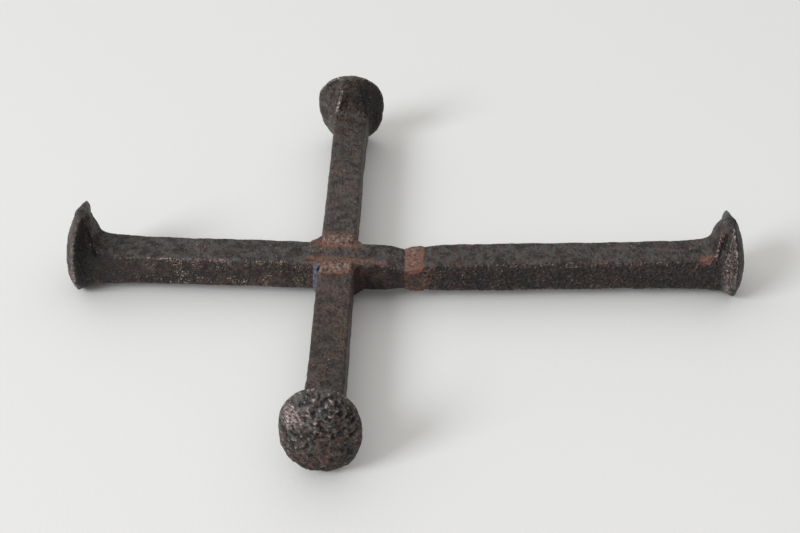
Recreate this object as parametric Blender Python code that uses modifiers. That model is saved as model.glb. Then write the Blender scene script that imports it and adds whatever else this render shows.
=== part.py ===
"""Four cut rail spikes welded into a cross that lies on its back.

Two whole spikes meet point to point and make the stem; two spikes that were
cut short are welded square to the upper one and make the arms. Every head
has its long lip pointing up and rests on its short back rim.

Frame: metres. +X runs along the stem towards the foot of the cross, +Y
towards the right arm and +Z up, out of the front of the cross. The origin is
the centre of the bounding box, on the surface that the heads rest on.
"""

from dataclasses import dataclass, replace
from math import acos, copysign, cos, pi, radians, sin, tan

import bmesh
import bpy
from mathutils import Matrix, Vector

MM = 0.001

# The shank, a square bar with rounded corners
SHANK_WIDTH = 15.9 * MM
SHANK_CORNER = 1.6 * MM
NECK_SWELL = 0.9 * MM  # of the shank, all round, where the head was upset
NECK_SWELL_LENGTH = 13.0 * MM

# What the four heads share
HEAD_WIDTH = 33.6 * MM
HEAD_LOWER_CORNER = radians(50)  # where the neck's back corners meet the rim
RIM_THICKNESS = 2.6 * MM
RIM_ROUNDING = 0.8 * MM
DOME_RISE = 4.9 * MM
NECK_FLARE = 6.2 * MM  # how far before the rim the shank starts to flare out
LIP_RIB_WIDTH = 7.6 * MM  # of the rib under the lip, at its tip

# What a head has where its own wear doesn't change it
HEAD_BACK_OVERHANG = 5.7 * MM  # past the shank's back face
HEAD_BELLY_HEIGHT = 12.5 * MM  # of its widest place, above the shank's axis
HEAD_UPPER_SQUARENESS = 2.3  # of the outline above the belly: 2 is an ellipse
HEAD_LOWER_SQUARENESS = 2.7
HEAD_LEAN = radians(8)  # of the lip towards the shank

# Where the heads are: a reach ends at the underside of that head's rim
UPPER_REACH = 115.0 * MM  # from the crossing
RIGHT_ARM_REACH = 115.3 * MM  # from the crossing
LEFT_ARM_REACH = 110.0 * MM  # from the crossing
LOWER_REACH = 141.6 * MM  # from the butt joint
CROSSING_TO_BUTT_JOINT = 34.6 * MM

# Which way each spike points from its joint to its head, as it was welded
UPPER_HEADING = radians(178.2)
LOWER_HEADING = radians(2.2)
RIGHT_ARM_HEADING = radians(89.3)
LEFT_ARM_HEADING = radians(-90.5)

# The blunted points of the two stem spikes
POINT_TAPER_LENGTH = 15.0 * MM
UPPER_POINT_FRONT_TAPER = 2.6 * MM
UPPER_POINT_BACK_TAPER = 1.4 * MM
LOWER_POINT_FRONT_TAPER = 0.9 * MM
LOWER_POINT_BACK_TAPER = 0.8 * MM
GROOVE_WIDTH = 8.4 * MM  # of the welding groove, over both points
GROOVE_DEPTH = 3.2 * MM

# The cut ends of the two arms
ARM_BEVEL = 3.0 * MM  # ground off the front and back edges for the weld

# The weld metal
BUTT_CROWN = 0.5 * MM  # how proud the butt weld stands of the points
ROOT_RUN_WIDTH = 7.6 * MM
ROOT_RUN_CROWN = 1.4 * MM
RIGHT_RUN_LAP = 3.6 * MM  # how far the right arm's runs lie over the stem
LEFT_RUN_LAP = 1.6 * MM
RIGHT_UPPER_FILLET_LEG = 4.8 * MM
RIGHT_LOWER_FILLET_LEG = 2.6 * MM
LEFT_UPPER_FILLET_LEG = 4.0 * MM
LEFT_LOWER_FILLET_LEG = 3.8 * MM
FILLET_TOE = 0.8 * MM  # thickness left where a fillet ends
RUN_BEVEL = 0.8 * MM

GAP = 0.3 * MM  # between faces that touch on the real cross
CUT_MARGIN = 2.0 * MM  # how far a cutter runs on past what it cuts

SIDE_SEGMENTS = 10
CORNER_SEGMENTS = 2
FLARE_STEPS = (0.0, 0.25, 0.5, 0.7, 0.86)
FLARE_CONCAVITY = 2.0
DOME_STEPS = (0.86, 0.66, 0.42, 0.18)
FILLET_SEGMENTS = 24

IRON = (0.075, 0.062, 0.056)
BROWN_IRON = (0.095, 0.07, 0.058)
WELD_METAL = (0.17, 0.125, 0.105)
BRIGHT_WELD = (0.2, 0.21, 0.24)

HALF_SHANK = SHANK_WIDTH / 2


@dataclass(frozen=True)
class Head:
    """What differs between the heads, each worn in its own way."""

    lip_reach: float  # past the shank's front face
    back_overhang: float = HEAD_BACK_OVERHANG
    belly_height: float = HEAD_BELLY_HEIGHT
    upper_squareness: float = HEAD_UPPER_SQUARENESS
    lower_squareness: float = HEAD_LOWER_SQUARENESS
    lean: float = HEAD_LEAN

    def rim_point(self, angle):
        """A point of the head's outline: y and height above the shank's axis."""
        above = HALF_SHANK + self.lip_reach - self.belly_height
        below = HALF_SHANK + self.back_overhang + self.belly_height
        upper = sin(angle) > 0
        height = above if upper else below
        power = 2 / (self.upper_squareness if upper else self.lower_squareness)
        y = copysign(abs(cos(angle)) ** power, cos(angle)) * HEAD_WIDTH / 2
        z = copysign(abs(sin(angle)) ** power, sin(angle)) * height
        return y, self.belly_height + z

    def rim_outline(self):
        """The rim's points, in the order of Section.outline."""
        rib = acos((LIP_RIB_WIDTH / HEAD_WIDTH) ** (self.upper_squareness / 2))
        low = HEAD_LOWER_CORNER
        corners = (pi - rib, rib, -low, low - pi, -pi - rib)
        points = []
        for side in range(4):
            for step in range(SIDE_SEGMENTS):
                share = step / SIDE_SEGMENTS
                angle = corners[side] + (corners[side + 1] - corners[side]) * share
                points.append(Vector((0, *self.rim_point(angle))))
        return points

    def leaned(self, points, x):
        """The points moved to x, and the higher ones back towards the shank."""
        return [Vector((x - tan(self.lean) * p.z, p.y, p.z)) for p in points]

    def rings(self):
        """Rings from the start of the neck, over the rim, to the dome."""
        neck = Section(0).grown(NECK_SWELL).outline()
        rim = self.rim_outline()
        middle = Vector((0, 0, (self.lip_reach - self.back_overhang) / 2))
        rings = []
        for share in FLARE_STEPS:
            ring = []
            for index, (inner, outer) in enumerate(zip(neck, rim, strict=True)):
                on_rib = index <= SIDE_SEGMENTS
                ring.append(inner.lerp(outer, share if on_rib else share**FLARE_CONCAVITY))
            rings.append(self.leaned(ring, -NECK_FLARE * (1 - share)))
        inset = 1 - RIM_ROUNDING / (HEAD_WIDTH / 2)
        inner_rim = [middle.lerp(p, inset) for p in rim]
        rings.append(self.leaned(inner_rim, 0))
        rings.append(self.leaned(rim, RIM_ROUNDING))
        rings.append(self.leaned(rim, RIM_THICKNESS - RIM_ROUNDING))
        rings.append(self.leaned(inner_rim, RIM_THICKNESS))
        for share in DOME_STEPS:
            dome = [middle.lerp(p, inset * share) for p in rim]
            rings.append(self.leaned(dome, RIM_THICKNESS + DOME_RISE * (1 - share**2)))
        return rings


@dataclass(frozen=True)
class Section:
    """A rounded rectangle square to the shank's axis."""

    x: float
    width: float = SHANK_WIDTH
    front: float = HALF_SHANK
    back: float = HALF_SHANK

    def grown(self, by):
        return Section(self.x, self.width + 2 * by, self.front + by, self.back + by)

    def outline(self):
        """Points round it, side by side: front, right, back and left."""
        corner = min(SHANK_CORNER, self.width / 4, (self.front + self.back) / 4)
        across = self.width / 2 - corner
        up, down = self.front - corner, corner - self.back
        centres = ((-across, up), (across, up), (across, down), (-across, down))
        points = []
        for side in range(4):
            first = Vector(centres[side])
            last = Vector(centres[(side + 1) % 4])
            for step in range(SIDE_SEGMENTS):
                before = max(CORNER_SEGMENTS - step, 0) / CORNER_SEGMENTS
                after = max(step - SIDE_SEGMENTS + CORNER_SEGMENTS, 0) / CORNER_SEGMENTS
                along = (step - CORNER_SEGMENTS) / (SIDE_SEGMENTS - 2 * CORNER_SEGMENTS)
                centre = first.lerp(last, min(max(along, 0), 1))
                angle = pi / 2 - side * pi / 2 + (before - after) * pi / 4
                y = centre.x + corner * cos(angle)
                z = centre.y + corner * sin(angle)
                points.append(Vector((self.x, y, z)))
        return points


def shank_rings(tail, grow=0.0):
    """Rings of the shank's sections, from its far end towards the head."""
    return [section.grown(grow).outline() for section in tail]


def skin(name, rings):
    """A closed mesh over rings of equal count."""
    bm = bmesh.new()
    rows = [[bm.verts.new(point) for point in ring] for ring in rings]
    for near, far in zip(rows, rows[1:], strict=False):
        for index in range(len(near)):
            after = (index + 1) % len(near)
            bm.faces.new((near[index], near[after], far[after], far[index]))
    bm.faces.new(rows[0])
    bm.faces.new(rows[-1])
    bmesh.ops.recalc_face_normals(bm, faces=bm.faces)
    mesh = bpy.data.meshes.new(name)
    bm.to_mesh(mesh)
    bm.free()
    return mesh


def point_tail(reach, front_taper, back_taper):
    """Sections of a whole spike, with its blunted point reach behind the rim."""
    front, back = HALF_SHANK - front_taper, HALF_SHANK - back_taper
    blunt = Section(-reach + GROOVE_WIDTH / 2, SHANK_WIDTH, front, back)
    groove = blunt.grown(-GROOVE_DEPTH)
    return [
        replace(groove, x=-reach + GAP),
        blunt,
        Section(-reach + POINT_TAPER_LENGTH),
    ]


def cut_tail(reach, skew):
    """Sections of an arm, cut to seat on the side of a stem skew off square."""
    end = -reach + HALF_SHANK + GAP + HALF_SHANK * abs(tan(skew))
    inner = HALF_SHANK - ARM_BEVEL
    return [
        Section(end, SHANK_WIDTH, inner, inner),
        Section(end + ARM_BEVEL),
    ]


def collection(name):
    made = bpy.data.collections.new(name)
    bpy.context.scene.collection.children.link(made)
    return made


def material(name, colour, roughness, metallic):
    made = bpy.data.materials.new(name)
    made.use_nodes = True
    shader = made.node_tree.nodes["Principled BSDF"]
    shader.inputs["Base Color"].default_value = (*colour, 1)
    shader.inputs["Roughness"].default_value = roughness
    shader.inputs["Metallic"].default_value = metallic
    return made


def empty(name, parent=None, location=(0, 0, 0), heading=0.0):
    made = bpy.data.objects.new(name, None)
    made.parent = parent
    made.location = location
    made.rotation_euler.z = heading
    bpy.context.scene.collection.objects.link(made)
    return made


def placed(name, mesh, group, parent, location=(0, 0, 0)):
    made = bpy.data.objects.new(name, mesh)
    made.parent = parent
    made.location = location
    group.objects.link(made)
    return made


def cutter(name, mesh, group, parent, location=(0, 0, 0)):
    made = placed(name, mesh, group, parent, location)
    made.hide_render = True
    made.display_type = "WIRE"
    return made


def cut_by(piece, others):
    for other in others:
        cut = piece.modifiers.new("cut_by_" + other.name, "BOOLEAN")
        cut.operation = "DIFFERENCE"
        cut.solver = "EXACT"
        cut.object = other


UPPER_HEAD = Head(lip_reach=19.7 * MM, upper_squareness=2.2, lean=radians(6))
LOWER_HEAD = Head(
    lip_reach=18.2 * MM, belly_height=11.5 * MM, upper_squareness=2.1, lean=radians(6)
)
RIGHT_HEAD = Head(lip_reach=21.0 * MM, lower_squareness=2.4)
LEFT_HEAD = Head(
    lip_reach=21.6 * MM,
    back_overhang=3.2 * MM,
    upper_squareness=2.4,
    lower_squareness=2.1,
)


@dataclass(frozen=True)
class Cross:
    """The two collections that the cross is built in."""

    parts: bpy.types.Collection
    cutters: bpy.types.Collection

    def spike(self, name, axis, reach, tail, head, colour):
        """Makes one spike, and returns the cutter that keeps weld metal off it."""
        at_rim = (reach, 0, 0)
        before_neck = Section(-NECK_FLARE - NECK_SWELL_LENGTH)
        rings = shank_rings([*tail, before_neck]) + head.rings()
        made = placed(name, skin(name, rings), self.parts, axis, at_rim)
        made.data.materials.append(material(name + "_iron", colour, 0.62, 0.75))
        made.data.shade_smooth()
        made.data.set_sharp_from_angle(angle=radians(30))

        rings = shank_rings([*tail, Section(-reach / 2)], GAP)
        rings[0] = [point - Vector((2 * GAP, 0, 0)) for point in rings[0]]
        name += "_clearance"
        return cutter(name, skin(name, rings), self.cutters, axis, at_rim)

    def run(self, name, axis, low, high, around, colour=WELD_METAL, roughness=0.55):
        """Makes a weld run: a block from low to high, cut clear of the shanks around it."""
        bm = bmesh.new()
        bmesh.ops.create_cube(bm, size=1)
        low, high = Vector(low), Vector(high)
        size = Matrix.Diagonal((*(high - low), 1))
        bmesh.ops.transform(bm, matrix=Matrix.Translation((low + high) / 2) @ size, verts=bm.verts)
        mesh = bpy.data.meshes.new(name)
        bm.to_mesh(mesh)
        bm.free()
        made = placed(name, mesh, self.parts, axis)
        made.data.materials.append(material(name + "_metal", colour, roughness, 0.7))
        rounding = made.modifiers.new("rounding", "BEVEL")
        rounding.width = RUN_BEVEL
        rounding.segments = 2
        cut_by(made, around)
        return made

    def butt_weld(self, axis, points):
        """Four runs in the groove between the stem's two points, one on each face."""
        reach = GROOVE_WIDTH / 2 - GAP
        side = HALF_SHANK + BUTT_CROWN
        front = HALF_SHANK - (UPPER_POINT_FRONT_TAPER + LOWER_POINT_FRONT_TAPER) / 2
        back = HALF_SHANK - (UPPER_POINT_BACK_TAPER + LOWER_POINT_BACK_TAPER) / 2
        depth = GROOVE_DEPTH - 2 * GAP
        upper, lower, inner = front - depth, depth - back, HALF_SHANK - depth
        half = GAP / 2
        spans = {
            "front": ((-side, upper + half), (side, front + BUTT_CROWN)),
            "back": ((-side, -back - BUTT_CROWN), (side, lower - half)),
            "right": ((inner, lower + half), (side, upper - half)),
            "left": ((-side, lower + half), (-inner, upper - half)),
        }
        for face, (low, high) in spans.items():
            name = f"butt_weld_{face}_run"
            self.run(name, axis, (-reach, *low), (reach, *high), points)

    def arm_weld(self, arm, axis, lap, shanks):
        """The runs over the front and over the back of an arm's root."""
        start = HALF_SHANK - lap
        end = start + ROOT_RUN_WIDTH
        crown = HALF_SHANK + ROOT_RUN_CROWN
        root = HALF_SHANK - ARM_BEVEL + GAP
        for face, low, high in (("front", root, crown), ("back", -crown, -root)):
            name = f"{arm}_{face}_run"
            self.run(name, axis, (start, -HALF_SHANK, low), (end, HALF_SHANK, high), shanks)

    def fillet(self, name, axis, side, leg, shanks, colour=WELD_METAL, roughness=0.55):
        """A run down the corner between an arm's side and the stem's side."""
        first = HALF_SHANK + GAP
        last = HALF_SHANK + leg
        tall = HALF_SHANK - FILLET_TOE
        low = (HALF_SHANK - CUT_MARGIN, min(side * first, side * last), -tall)
        high = (last, max(side * first, side * last), tall)
        made = self.run(name, axis, low, high, shanks, colour, roughness)

        radius = leg - FILLET_TOE - GAP
        bm = bmesh.new()
        bmesh.ops.create_cone(
            bm,
            cap_ends=True,
            segments=FILLET_SEGMENTS,
            radius1=radius,
            radius2=radius,
            depth=2 * (tall + CUT_MARGIN),
        )
        mesh = bpy.data.meshes.new(name + "_hollow")
        bm.to_mesh(mesh)
        bm.free()
        at_corner = (last, side * last, 0)
        hollow = cutter(name + "_hollow", mesh, self.cutters, axis, at_corner)
        cut_by(made, [hollow])


def centre_on_floor(root, parts):
    """Moves root so that the parts' box is centred on the origin, above z = 0."""
    bpy.context.view_layer.update()
    graph = bpy.context.evaluated_depsgraph_get()
    corners = []
    for piece in parts.objects:
        solid = piece.evaluated_get(graph)
        corners += [solid.matrix_world @ vertex.co for vertex in solid.data.vertices]
    low = Vector(map(min, zip(*corners, strict=True)))
    high = Vector(map(max, zip(*corners, strict=True)))
    root.location = -Vector(((low.x + high.x) / 2, (low.y + high.y) / 2, low.z))


def main():
    for old in list(bpy.data.objects):
        bpy.data.objects.remove(old, do_unlink=True)
    cross = Cross(collection("welded_spike_cross"), collection("cutters"))

    crossing = empty("crossing")
    upper_axis = empty("upper_axis", crossing, heading=UPPER_HEADING)
    butt_place = (-CROSSING_TO_BUTT_JOINT, 0, 0)
    lower_axis = empty("lower_axis", upper_axis, butt_place, LOWER_HEADING - UPPER_HEADING)
    joint_heading = (UPPER_HEADING - pi + LOWER_HEADING) / 2
    joint_axis = empty("joint_axis", upper_axis, butt_place, joint_heading - UPPER_HEADING)
    right_axis = empty("right_arm_axis", crossing, heading=RIGHT_ARM_HEADING)
    left_axis = empty("left_arm_axis", crossing, heading=LEFT_ARM_HEADING)

    upper_tail = point_tail(
        UPPER_REACH + CROSSING_TO_BUTT_JOINT, UPPER_POINT_FRONT_TAPER, UPPER_POINT_BACK_TAPER
    )
    upper = cross.spike(
        "upper_stem_spike", upper_axis, UPPER_REACH, upper_tail, UPPER_HEAD, IRON
    )
    lower_tail = point_tail(LOWER_REACH, LOWER_POINT_FRONT_TAPER, LOWER_POINT_BACK_TAPER)
    lower = cross.spike(
        "lower_stem_spike", lower_axis, LOWER_REACH, lower_tail, LOWER_HEAD, IRON
    )
    right_tail = cut_tail(RIGHT_ARM_REACH, UPPER_HEADING - pi / 2 - RIGHT_ARM_HEADING)
    right = cross.spike(
        "right_arm_spike", right_axis, RIGHT_ARM_REACH, right_tail, RIGHT_HEAD, BROWN_IRON
    )
    left_tail = cut_tail(LEFT_ARM_REACH, UPPER_HEADING - 3 * pi / 2 - LEFT_ARM_HEADING)
    left = cross.spike(
        "left_arm_spike", left_axis, LEFT_ARM_REACH, left_tail, LEFT_HEAD, BROWN_IRON
    )

    cross.butt_weld(joint_axis, [upper, lower])
    at_right, at_left = [upper, right], [upper, left]
    cross.arm_weld("right_arm", right_axis, RIGHT_RUN_LAP, at_right)
    cross.fillet("right_arm_upper_fillet", right_axis, 1, RIGHT_UPPER_FILLET_LEG, at_right)
    cross.fillet("right_arm_lower_fillet", right_axis, -1, RIGHT_LOWER_FILLET_LEG, at_right)
    cross.arm_weld("left_arm", left_axis, LEFT_RUN_LAP, at_left)
    cross.fillet(
        "left_arm_upper_fillet", left_axis, -1, LEFT_UPPER_FILLET_LEG, at_left, BRIGHT_WELD, 0.3
    )
    cross.fillet("left_arm_lower_fillet", left_axis, 1, LEFT_LOWER_FILLET_LEG, at_left)

    centre_on_floor(crossing, cross.parts)


main()
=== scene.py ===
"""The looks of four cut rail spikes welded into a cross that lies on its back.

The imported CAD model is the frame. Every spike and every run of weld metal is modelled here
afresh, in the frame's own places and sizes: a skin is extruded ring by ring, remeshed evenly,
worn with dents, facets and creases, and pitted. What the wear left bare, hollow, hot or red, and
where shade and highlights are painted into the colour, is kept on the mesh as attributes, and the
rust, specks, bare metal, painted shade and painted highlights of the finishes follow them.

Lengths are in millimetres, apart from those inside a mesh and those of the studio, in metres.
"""

import logging
from collections.abc import Callable, Sequence
from dataclasses import dataclass
from enum import Enum
from math import acos, copysign, cos, pi, radians, sin, tan

import bmesh
import bpy
import numpy as np
from mathutils import Matrix, Vector


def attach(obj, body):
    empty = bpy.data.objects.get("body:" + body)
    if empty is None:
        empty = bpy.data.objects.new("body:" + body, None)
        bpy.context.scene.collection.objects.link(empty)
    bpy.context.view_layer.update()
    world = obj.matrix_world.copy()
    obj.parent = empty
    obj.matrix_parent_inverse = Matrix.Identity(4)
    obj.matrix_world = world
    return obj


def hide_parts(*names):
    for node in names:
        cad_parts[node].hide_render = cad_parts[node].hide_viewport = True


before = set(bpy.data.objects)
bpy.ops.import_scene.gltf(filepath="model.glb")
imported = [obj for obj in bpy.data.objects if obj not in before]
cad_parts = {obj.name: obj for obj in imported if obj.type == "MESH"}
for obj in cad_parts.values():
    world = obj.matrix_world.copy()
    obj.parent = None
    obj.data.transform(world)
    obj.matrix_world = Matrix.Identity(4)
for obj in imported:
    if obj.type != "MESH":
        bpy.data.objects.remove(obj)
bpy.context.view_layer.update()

LOG = logging.getLogger("spike_cross")
MM = 0.001

Point = tuple[float, float, float]
Colour = tuple[float, float, float]
Piece = bpy.types.Object
Rows = np.ndarray
Socket = bpy.types.NodeSocket
Value = Socket | float | Colour

# The shank, a square bar with rounded corners
SHANK_WIDTH = 15.9
HALF_SHANK = SHANK_WIDTH / 2
SHANK_CORNER = 1.6
NECK_SWELL = 0.9
NECK_SWELL_LENGTH = 13.0
NECK_FLARE = 6.2

# The heads
HEAD_WIDTH = 33.6
HEAD_LOWER_CORNER = radians(50)
RIM_THICKNESS = 2.6
RIM_ROUNDING = 0.8
DOME_RISE = 4.9
LIP_RIB_WIDTH = 7.6

# Where the spikes are: a reach ends at the underside of that head's rim
CROSSING = Vector((-30.604, -2.769, 13.65))
BUTT_JOINT = Vector((3.979, -3.856, 13.65))
BUTT_HEADING = radians(0.2)
UPPER_HEADING, UPPER_REACH = radians(178.2), 115.0
LOWER_HEADING, LOWER_REACH = radians(2.2), 141.6
RIGHT_ARM_HEADING, RIGHT_ARM_REACH = radians(89.3), 115.3
LEFT_ARM_HEADING, LEFT_ARM_REACH = radians(-90.5), 110.0

# The points, the arms' cut ends and the flat on the struck face
POINT_TAPER_LENGTH = 15.0
GROOVE_WIDTH = 8.4
GROOVE_DEPTH = 3.2
ARM_BEVEL = 3.0
STRUCK_FLAT = (-11.0, 19.0)

# The weld runs round the arms' roots
ROOT_RUN_BASE = 7.1
ROOT_RUN_MIDDLE = 3.8
FILLET_END = 7.6
RUN_BLUNTNESS = 0.12
RUN_SQUARENESS = 0.85

# How far from a weld the iron is burnt, and the streak burnt along the stem's top
ARM_BURN_REACH = 7.0
BUTT_BURN_REACH_UP, BUTT_BURN_REACH_DOWN = 5.0, 11.0
STREAK_OFFSET, STREAK_SLOPE, STREAK_WIDTH, STREAK_SHIFT = 4.6, 0.06, 1.5, 4.0

# How finely things are meshed
SIDE_SEGMENTS = 10
CORNER_SEGMENTS = 2
FLARE_STEPS = (0.0, 0.12, 0.25, 0.38, 0.5, 0.62, 0.74, 0.86, 0.94)
DOME_STEPS = (0.86, 0.7, 0.54, 0.38, 0.2)
RUN_STEPS = 36
RUN_POINTS = 28
VOXEL = 0.42
MERGE_DISTANCE = 0.01
MASK_LEVELS = 24


class Slot(Enum):
    """The record's material slots."""

    SPIKE = "spike_iron"
    ARM = "arm_iron"
    WELD = "weld_metal"
    BRIGHT = "bright_weld"


class Trait(Enum):
    """What a mesh keeps about its surface, each as an attribute from 0 to 1."""

    RIDGE = "ridge"
    HOLLOW = "hollow"
    HEAT = "burnt"
    RED = "red"
    PALE = "pale"
    # A lighter veil where faces look up, and a painted highlight where a side faces the window.
    GREY_AND_HIGHLIGHT = "grey_and_highlight"
    POLISH = "polish"
    # Painted shade under heads and on sides away from the window, and darker scale on the lower spike's
    # near face.
    SOOT = "soot"


# ---------------------------------------------------------------- working on meshes


def choose(piece: Piece) -> None:
    """Makes a piece the only selected object and the active one.

    Args:
        piece: The object to work on.
    """
    bpy.ops.object.select_all(action="DESELECT")
    piece.select_set(True)
    bpy.context.view_layer.objects.active = piece


def finish_with(piece: Piece, kind: str, **settings: object) -> None:
    """Adds a modifier to a piece and applies it.

    Args:
        piece: The object to change.
        kind: The modifier's type.
        **settings: Values for the modifier's own properties.
    """
    choose(piece)
    modifier = piece.modifiers.new(kind.lower(), kind)
    for name, value in settings.items():
        setattr(modifier, name, value)
    bpy.ops.object.modifier_apply(modifier=modifier.name)


def coordinates(piece: Piece) -> Rows:
    """Returns a mesh's points as rows, in millimetres."""
    flat = np.empty(len(piece.data.vertices) * 3)
    piece.data.vertices.foreach_get("co", flat)
    return flat.reshape(-1, 3) / MM


def set_coordinates(piece: Piece, points: Rows) -> None:
    """Moves a mesh's points to rows in millimetres."""
    piece.data.vertices.foreach_set("co", (points * MM).ravel())
    piece.data.update()


def normals(piece: Piece) -> Rows:
    """Returns a mesh's normals at its points, as rows."""
    flat = np.empty(len(piece.data.vertices) * 3)
    piece.data.vertex_normals.foreach_get("vector", flat)
    return flat.reshape(-1, 3)


def rest_on_floor(piece: Piece) -> None:
    """Presses flat whatever wear has pushed below the floor."""
    points = coordinates(piece)
    points[:, 2] = np.maximum(points[:, 2], 0.0)
    set_coordinates(piece, points)


def moved(points: Rows, matrix: Matrix) -> Rows:
    """Returns rows of points taken through a matrix."""
    m = np.array(matrix)
    return points @ m[:3, :3].T + m[:3, 3]


def ramp(values: Rows, low: float, high: float) -> Rows:
    """Returns values eased from 0 at low to 1 at high."""
    share = np.clip((values - low) / (high - low), 0, 1)
    return share * share * (3 - 2 * share)


def smoothed(values: Rows, edges: Rows, rounds: int) -> Rows:
    """Averages values over neighbouring points again and again.

    Args:
        values: A row for each point.
        edges: The mesh's edges as pairs of point numbers.
        rounds: How many times to average.

    Returns:
        The averaged rows.
    """
    count = np.bincount(edges.ravel(), minlength=len(values))[:, None] + 1.0
    for _ in range(rounds):
        total = values.copy()
        for column in range(values.shape[1]):
            for near, far in ((0, 1), (1, 0)):
                total[:, column] += np.bincount(
                    edges[:, near], values[edges[:, far], column], len(values)
                )
        values = total / count
    return values


def relief(piece: Piece, rounds: int) -> Rows:
    """Measures how far each point stands out of the surface round it.

    Args:
        piece: The object to measure.
        rounds: How wide the surface round a point is, in steps of averaging.

    Returns:
        Millimetres for each point: positive on edges and bumps, negative in hollows.
    """
    points = coordinates(piece)
    edges = np.empty(len(piece.data.edges) * 2, dtype=np.int64)
    piece.data.edges.foreach_get("vertices", edges)
    around = smoothed(points, edges.reshape(-1, 2), rounds)
    return np.einsum("ij,ij->i", points - around, normals(piece))


def keep_trait(piece: Piece, trait: Trait, values: Rows) -> None:
    """Stores a trait on a mesh.

    Args:
        piece: The object to mark.
        trait: Which trait it is.
        values: A value from 0 to 1 for each point.
    """
    kept = piece.data.attributes.new(trait.value, "FLOAT", "POINT")
    kept.data.foreach_set("value", np.clip(values, 0, 1).astype(np.float32))


def mask_group(piece: Piece, name: str, values: Rows) -> str:
    """Stores a mask as a vertex group, for a modifier to read.

    Args:
        piece: The object to mark.
        name: What to call the group.
        values: A value from 0 to 1 for each point.

    Returns:
        The group's name.
    """
    group = piece.vertex_groups.new(name=name)
    steps = np.rint(np.clip(values, 0, 1) * MASK_LEVELS).astype(int)
    for step in range(1, MASK_LEVELS + 1):
        group.add(np.flatnonzero(steps == step).tolist(), step / MASK_LEVELS, "REPLACE")
    return group.name


class Loft:
    """A closed skin that is extruded ring by ring in edit mode."""

    def __init__(self, name: str, ring: Sequence[Vector]) -> None:
        """Starts a skin with its first ring.

        Args:
            name: The name of the object and of its mesh.
            ring: The ring's points in order, in millimetres.
        """
        bpy.ops.object.select_all(action="DESELECT")
        bpy.ops.mesh.primitive_circle_add(vertices=len(ring), radius=MM, fill_type="NGON")
        self.piece = bpy.context.active_object
        self.piece.name = self.piece.data.name = name
        bpy.ops.object.mode_set(mode="EDIT")
        bpy.ops.mesh.select_mode(type="FACE")
        mesh = bmesh.from_edit_mesh(self.piece.data)
        for vertex, point in zip(mesh.faces[:][0].verts, ring, strict=True):
            vertex.co = point * MM
        bmesh.update_edit_mesh(self.piece.data)
        self.ring = list(ring)

    def extrude(self, ring: Sequence[Vector]) -> None:
        """Extrudes the open end to its next ring.

        Args:
            ring: The new ring's points, in the order of the first ring's.
        """
        bpy.ops.mesh.extrude_region_move()
        mesh = bmesh.from_edit_mesh(self.piece.data)
        cap = next(face for face in mesh.faces if face.select)
        old = np.array(self.ring) * MM
        for vertex in cap.verts:
            index = int(np.argmin(((old - np.array(vertex.co)) ** 2).sum(axis=1)))
            vertex.co = ring[index] * MM
        bmesh.update_edit_mesh(self.piece.data)
        self.ring = list(ring)

    def close(self) -> Piece:
        """Pokes both ends shut and turns the faces outwards.

        Returns:
            The finished object.
        """
        bpy.ops.mesh.select_all(action="DESELECT")
        mesh = bmesh.from_edit_mesh(self.piece.data)
        for face in mesh.faces:
            face.select = len(face.verts) > 4
        bmesh.update_edit_mesh(self.piece.data)
        bpy.ops.mesh.poke()
        bpy.ops.mesh.select_all(action="SELECT")
        bpy.ops.mesh.remove_doubles(threshold=MERGE_DISTANCE * MM)
        bpy.ops.mesh.normals_make_consistent(inside=False)
        bpy.ops.object.mode_set(mode="OBJECT")
        return self.piece


# ---------------------------------------------------------------- wear


@dataclass(frozen=True)
class Dent:
    """A soft push of the surface round one place."""

    centre: Point
    push: Point
    radius: float

    def wear(self, points: Rows, outward: Rows) -> Rows:
        """Returns the points after the push."""
        away = ((points - self.centre) ** 2).sum(axis=1) / self.radius**2
        return points + np.exp(-away)[:, None] * np.array(self.push)


@dataclass(frozen=True)
class Facet:
    """A flat that a hammer or wear left: nothing stays beyond its plane."""

    centre: Point
    normal: Point
    softness: float = 0.25

    def wear(self, points: Rows, outward: Rows) -> Rows:
        """Returns the points after the flat is made."""
        normal = np.array(self.normal) / np.linalg.norm(self.normal)
        beyond = (points - self.centre) @ normal
        cut = self.softness * np.logaddexp(0, np.clip(beyond / self.softness, -40, 40))
        return points - cut[:, None] * normal


@dataclass(frozen=True)
class Crease:
    """A groove along a straight line, or a ridge where its depth is negative."""

    start: Point
    end: Point
    width: float
    depth: float

    def nearness(self, points: Rows) -> Rows:
        """Returns a value for each point, 1 on the line and fading with the width."""
        start = np.array(self.start)
        line = np.array(self.end) - start
        share = np.clip((points - start) @ line / (line @ line), 0, 1)
        away = ((points - start - share[:, None] * line) ** 2).sum(axis=1) / self.width**2
        return np.exp(-away)

    def wear(self, points: Rows, outward: Rows) -> Rows:
        """Returns the points after the groove is pressed in."""
        return points - (self.depth * self.nearness(points))[:, None] * outward


@dataclass(frozen=True)
class Roughening:
    """A procedural pattern that a Displace modifier presses into a surface."""

    kind: str
    size: float
    depth: float
    middle: float = 0.5
    detail: int = 2

    def press(self, piece: Piece, mask: Rows | None = None) -> None:
        """Displaces a piece by the pattern.

        Args:
            piece: The object to change.
            mask: Where it applies, a value from 0 to 1 for each point, or None for everywhere.
        """
        label = f"{piece.name}_{self.kind.lower()}_{self.size}"
        texture = bpy.data.textures.new(label, self.kind)
        texture.noise_scale = self.size * MM
        if self.kind == "CLOUDS":
            texture.noise_depth = self.detail
        if self.kind == "VORONOI":
            texture.distance_metric = "DISTANCE_SQUARED"
        group = "" if mask is None else mask_group(piece, label, mask)
        finish_with(
            piece, "DISPLACE", texture=texture, texture_coords="LOCAL", strength=self.depth * MM,
            mid_level=self.middle, vertex_group=group,
        )
        piece.vertex_groups.clear()


# ---------------------------------------------------------------- node graphs


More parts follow.
